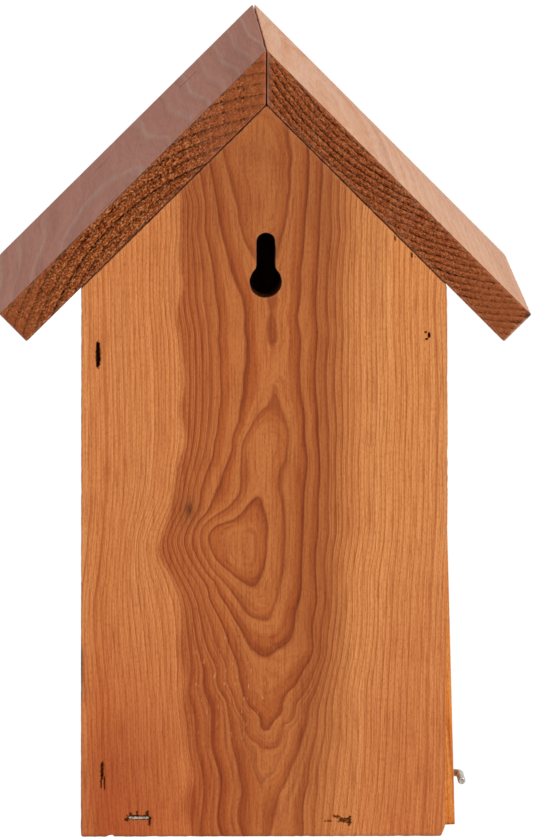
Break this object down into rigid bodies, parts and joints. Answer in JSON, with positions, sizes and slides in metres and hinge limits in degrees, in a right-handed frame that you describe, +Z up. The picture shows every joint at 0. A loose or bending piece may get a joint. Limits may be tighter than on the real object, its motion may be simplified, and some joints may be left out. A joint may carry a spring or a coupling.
{
  "type": "bird nest box",
  "caption": "Gable-roofed wooden nest box with a round entrance, a keyhole for hanging it on a wall, and a side door that swings on nails and is secured by a square-bent screw hook.",
  "frame": {"origin": "on the plane that the box stands on, under the middle of its overall box", "axes": "+Z up, +Y towards the wall that the back panel hangs on, entrance facing -Y, side door at -X"},
  "size_m": [0.2206, 0.18, 0.3299],
  "materials": {
    "gable_boards": "planed and oiled softwood",
    "side_boards": "planed and oiled softwood",
    "roof_boards": "planed softwood, sawn end grain",
    "zinc_hook": "zinc plated",
    "steel_fasteners": "bright drawn wire"
  },
  "bodies": {
    "carcass": {"back_panel": "gable_boards", "front_panel": "gable_boards", "fixed_side_panel": "side_boards", "floor_panel": "side_boards", "left_roof_board": "roof_boards", "right_roof_board": "roof_boards", "back_pivot_nail": "steel_fasteners", "front_pivot_nail": "steel_fasteners", "back_side_staples": "steel_fasteners", "back_floor_staples": "steel_fasteners", "front_side_staples": "steel_fasteners", "front_floor_staples": "steel_fasteners", "side_floor_staples": "steel_fasteners", "left_roof_back_staples": "steel_fasteners", "left_roof_front_staples": "steel_fasteners", "right_roof_back_staples": "steel_fasteners", "right_roof_front_staples": "steel_fasteners"},
    "door": {"side_door": "side_boards"},
    "hook": {"screw_hook": "zinc_hook"}
  },
  "joints": [
    {"name": "door_swing", "type": "hinge", "parent": "carcass", "child": "door", "pos_m": [-0.0672, 0, 0.2125], "axis": [0, 1, 0], "range_deg": [-1.9, 67.5]},
    {"name": "hook_turn", "type": "hinge", "parent": "door", "child": "hook", "pos_m": [-0.08073, 0.006, 0.00984], "axis": [-0.9995, 0, 0.0332], "continuous": true}
  ]
}
